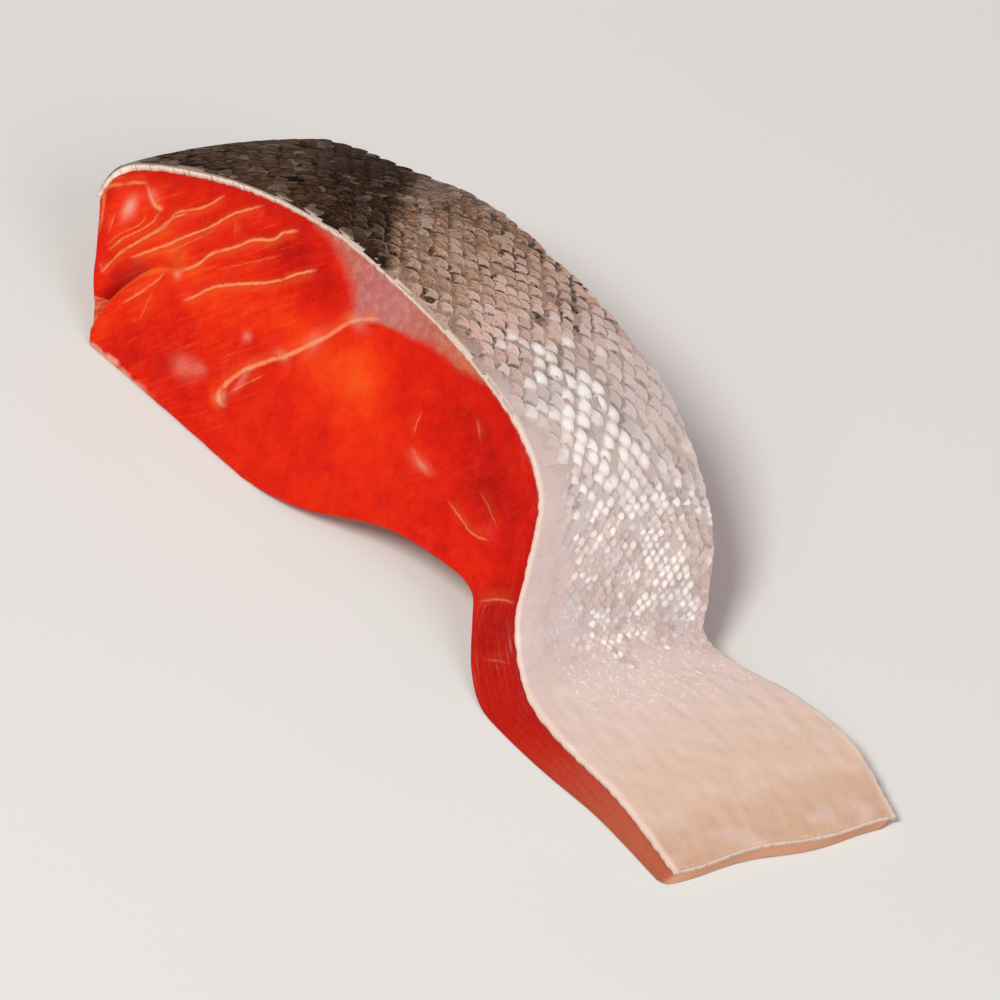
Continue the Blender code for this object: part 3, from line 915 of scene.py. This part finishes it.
def skin_material():
    n = Nodes("salmon_skin")
    spread, arc, across = n.field("spread", "Vector"), n.field("arc"), n.field("across")
    moved = n.plus(arc, n.around(n.noise(spread, 0.10, 3.0, 0.55), 14.0))
    base, dark = skin_tones(n, moved, arc, across, spread)
    # the smooth strip along the head-side edge
    strip = n.times(n.ramp(across, 0.16, 0.10), n.between(arc, 84.0, 102.0, 138.0, 150.0))
    base = n.mix(n.times(strip, 0.85), base, STRIP_TONE)
    # what lies between the scales is darker on the back
    bare = n.times(n.ramp(arc, 140.0, 70.0), n.minus(1.0, strip))
    base = n.mix(n.times(bare, 0.55), base, rgb(96, 70, 58))
    # creamy mottling of the flap
    tan = n.times(n.ramp(n.noise(spread, 0.09, 3.0), 0.42, 0.70), n.ramp(arc, 146.0, 176.0))
    base = n.mix(n.times(tan, 0.40), base, rgb(216, 180, 148))
    pink = n.times(n.ramp(n.noise(spread, 0.13, 2.0), 0.50, 0.66), n.ramp(arc, 140.0, 150.0))
    base = n.mix(n.times(pink, 0.40), base, rgb(232, 202, 194))
    fine = n.noise(spread, 2.4, 3.0, 0.6)
    base = n.mix(n.ramp(fine, 0.35, 0.75, 0.0, 0.14), base, rgb(242, 228, 220))
    # fine silvery marks where the scales end
    marks = n.ramp(n.noise(n.stretched(spread, 0.8, 1.3, 1.0), 1.3, 2.0, 0.7), 0.54, 0.66)
    marks = n.times(marks, n.between(arc, 118.0, 130.0, 148.0, 157.0), n.ramp(across, 0.14, 0.26))
    base = n.mix(n.times(marks, 0.62), base, rgb(248, 238, 234))
    speck = n.times(n.ramp(n.noise(spread, 1.2, 2.0), 0.60, 0.70), n.ramp(arc, 150.0, 138.0))
    base = n.mix(n.times(speck, 0.22), base, rgb(150, 126, 120))
    # a pale rim along the cuts, and round the skin's end on the back
    rim = n.ramp(n.math("MINIMUM", across, n.minus(1.0, across)), 0.040, 0.014)
    rim = n.largest(n.times(rim, n.ramp(arc, 24.0, 66.0, 0.35, 1.0)), n.ramp(arc, 1.9, 0.9))
    base = n.mix(n.times(rim, 0.80), base, rgb(238, 212, 196))
    # the cut edge of the skin is cream white with dark ticks, and its inside is pale too
    ticks = n.ramp(n.noise(n.stretched(spread, 1.0, 0.3, 1.0), 0.9, 2.0, 0.7), 0.55, 0.63)
    ticks = n.times(ticks, n.ramp(arc, 110.0, 60.0, 0.2, 0.9), 0.5)
    creamy = n.ramp(n.noise(spread, 1.3, 2.0), 0.48, 0.70)
    cut_edge = n.mix(ticks, n.mix(creamy, rgb(250, 226, 210), rgb(238, 194, 170)), rgb(138, 88, 64))
    base = n.mix(n.ramp(n.field("outside"), 0.80, 0.45), base, cut_edge)

    roughness = n.plus(n.ramp(n.noise(spread, 0.6, 3.0), 0.3, 0.7, 0.32, 0.48), n.times(dark, 0.22))
    rough = n.bump(n.noise(spread, 0.8, 4.0, 0.55), 0.00020, 0.30)
    return n.finish(
        base, roughness, n.bump(fine, 0.00012, 0.5, rough),
        Subsurface_Weight=0.12, Subsurface_Radius=(1.0, 0.5, 0.35), Subsurface_Scale=0.0010,
        Coat_Weight=0.08, Coat_Roughness=0.15, Specular_IOR_Level=0.32,
    )


def half_ring(n, beside):
    """How far a scale reaches ahead at a place beside its middle, as a share."""
    square = n.math("POWER", n.size(n.math("DIVIDE", beside, SCALE_BESIDE)), 2.0)
    return n.math("SQRT", n.largest(n.minus(1.0, square), 0.0))


def scale_material(name, specular, coat):
    n = Nodes(name)
    spread, arc, across = n.field("spread", "Vector"), n.field("arc"), n.field("across")
    tone, tone2, gleam = n.parts("own")
    along, beside, covered = n.parts("local")
    base, dark = skin_tones(n, n.plus(arc, n.around(tone2, 10.0)), arc, across, spread)
    # each scale has its own lightness, less so on the dark patch
    pale = n.scaled(dark, -0.80, 1.0)
    base = n.mix(n.times(n.ramp(tone, 0.50, 1.0, 0.0, 0.26), pale), base, rgb(228, 204, 196))
    base = n.mix(n.times(n.ramp(tone, 0.42, 0.0, 0.0, 0.22), pale), base, rgb(132, 100, 86))

    # a dark mark where a scale comes out from under the ones ahead of it: pigment, and painted shadow of the
    # edge above it
    own_end = n.times(half_ring(n, beside), SCALE_AHEAD)
    next_row = half_ring(n, n.minus(n.size(beside), SCALE_ROW))
    start = n.largest(n.minus(own_end, SCALE_PITCH), n.scaled(next_row, SCALE_AHEAD, -SCALE_PITCH / 2))
    ragged = n.around(n.noise(spread, 1.5, 2.0), 1.5)
    shown = n.minus(n.plus(n.minus(along, start), ragged), n.ramp(arc, 100.0, 78.0, 0.0, 0.22))
    pigment_and_shadow = n.ramp(shown, 0.95, 0.10)
    strength = n.colours(arc, *((at, (grey, grey, grey, 1)) for at, grey in MARK_STRENGTHS))
    scribble = n.ramp(n.noise(n.stretched(spread, 0.8, 1.2, 1.0), 0.42, 3.0, 0.65), 0.40, 0.60, 0.50, 1.0)
    strength = n.times(strength, covered, n.ramp(tone2, 0.0, 0.8, 0.5, 1.0), scribble)
    strength = n.math("MULTIPLY", strength, 1.25, clamp=True)
    pigment_and_shadow_tone = n.mix(dark, rgb(56, 36, 22), rgb(14, 7, 3))
    base = n.mix(n.times(pigment_and_shadow, strength), base, pigment_and_shadow_tone)

    # a painted highlight on the free edge, and painted glints where scales catch the light
    free_edge_highlight = n.times(n.ramp(n.minus(own_end, along), 0.50, 0.12), covered, n.ramp(arc, 40.0, 80.0), 0.24)
    base = n.mix(free_edge_highlight, base, rgb(238, 220, 212))
    # painted glints: a bright spot on each scale that catches the light
    off_ahead = n.math("POWER", n.math("DIVIDE", n.minus(along, 1.15), 1.15), 2.0)
    off_beside = n.math("POWER", n.math("DIVIDE", beside, 1.25), 2.0)
    off = n.math("SQRT", n.plus(off_ahead, off_beside))
    off = n.plus(off, n.around(n.noise(spread, 1.1, 3.0, 0.6), 1.3))
    lit = n.plus(gleam, n.around(n.noise(spread, 0.35, 2.0), 1.4), tone)
    lit = n.minus(lit, n.ramp(arc, 92.0, 70.0, 0.0, 0.80))
    painted_glints = n.times(n.ramp(lit, 0.72, 1.65), n.ramp(off, 1.40, 0.30), covered, n.times(pale, 0.92))
    base = n.mix(painted_glints, base, rgb(252, 246, 242))
    fine = n.times(n.ramp(n.noise(spread, 3.0, 2.0), 0.4, 0.7, 0.0, 0.12), pale)
    base = n.mix(fine, base, rgb(240, 226, 218))
    # the last scales before the smooth strip fade into it
    smooth = n.times(n.minus(1.0, covered), n.ramp(arc, 86.0, 104.0), 0.9)
    base = n.mix(smooth, base, STRIP_TONE)

    roughness = n.plus(n.ramp(tone2, 0.0, 1.0, 0.32, 0.46), n.times(dark, 0.22))
    return n.finish(
        base, roughness, n.bump(n.noise(spread, 2.0, 3.0, 0.6), 0.00012, 0.5),
        Coat_Weight=coat, Coat_Roughness=0.12, Specular_IOR_Level=specular,
    )


def floor_material():
    n = Nodes("pale_floor")
    place = n.add("ShaderNodeTexCoord").outputs["Object"]
    base = n.mix(n.noise(place, 6.0, 2.0), rgb(226, 224, 220), rgb(232, 230, 227))
    return n.finish(base, 0.85, (0.0, 0.0, 0.0))


# Assembly

scale_finishes = [
    scale_material("silver_scales", 0.20, 0.04),
    scale_material("brown_scales", 0.07, 0.0),
    scale_material("dark_scales", 0.02, 0.0),
]
for piece, materials in (
    (build_meat(), [meat_material()]),
    (build_skin(), [skin_material()]),
    (build_scales(), scale_finishes),
):
    for material in materials:
        piece.data.materials.append(material)
    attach(piece, "root")
    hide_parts("salmon_steak")

bpy.ops.mesh.primitive_plane_add(size=6.0, location=(0.0, 0.0, -0.0001))
floor = bpy.context.object
floor.name = "floor"
floor.data.materials.append(floor_material())

# Camera, as the photograph was taken, and soft light

CAMERA_AZIMUTH, CAMERA_HEIGHT = math.radians(65.1), math.radians(47.4)
CAMERA_DISTANCE = 1.8605
CAMERA_LENS = 423.5
AIM = Vector((0.05818, 0.04581, 0.0)) - Vector(ORIGIN)


def towards(azimuth, height):
    """Unit vector from the object towards a place that far round from the head side and that high."""
    return Vector(
        (math.sin(azimuth) * math.cos(height), -math.cos(azimuth) * math.cos(height), math.sin(height))
    )


def look_at(obj, place):
    back = (obj.location - place).normalized()
    right = Vector((0, 0, 1)).cross(back).normalized()
    turn = Matrix((right, back.cross(right), back)).transposed().to_4x4()
    obj.matrix_world = Matrix.Translation(obj.location) @ turn


camera = bpy.data.objects.new("camera", bpy.data.cameras.new("camera"))
camera.data.sensor_width = 36.0
camera.data.lens = CAMERA_LENS
camera.data.clip_end = 50.0
bpy.context.scene.collection.objects.link(camera)
camera.location = AIM + towards(CAMERA_AZIMUTH, CAMERA_HEIGHT) * CAMERA_DISTANCE
look_at(camera, AIM)
bpy.context.scene.camera = camera


def area_light(name, azimuth, height, distance, size, power, colour):
    light = bpy.data.objects.new(name, bpy.data.lights.new(name, "AREA"))
    light.data.shape = "DISK"
    light.data.size = size
    light.data.energy = power
    light.data.color = colour
    bpy.context.scene.collection.objects.link(light)
    light.location = towards(math.radians(azimuth), math.radians(height)) * distance
    look_at(light, Vector((0.0, 0.0, 0.01)))


area_light("key_light", 15.0, 62.0, 1.4, 0.60, 12.5, (1.0, 0.97, 0.93))
area_light("fill_light", 105.0, 38.0, 1.6, 1.0, 6.5, (0.98, 0.98, 1.0))

world = bpy.data.worlds.new("studio")
world.use_nodes = True
world.node_tree.nodes["Background"].inputs["Color"].default_value = (0.95, 0.97, 1.0, 1.0)
world.node_tree.nodes["Background"].inputs["Strength"].default_value = 0.30
bpy.context.scene.world = world
bpy.context.scene.view_settings.view_transform = "Standard"
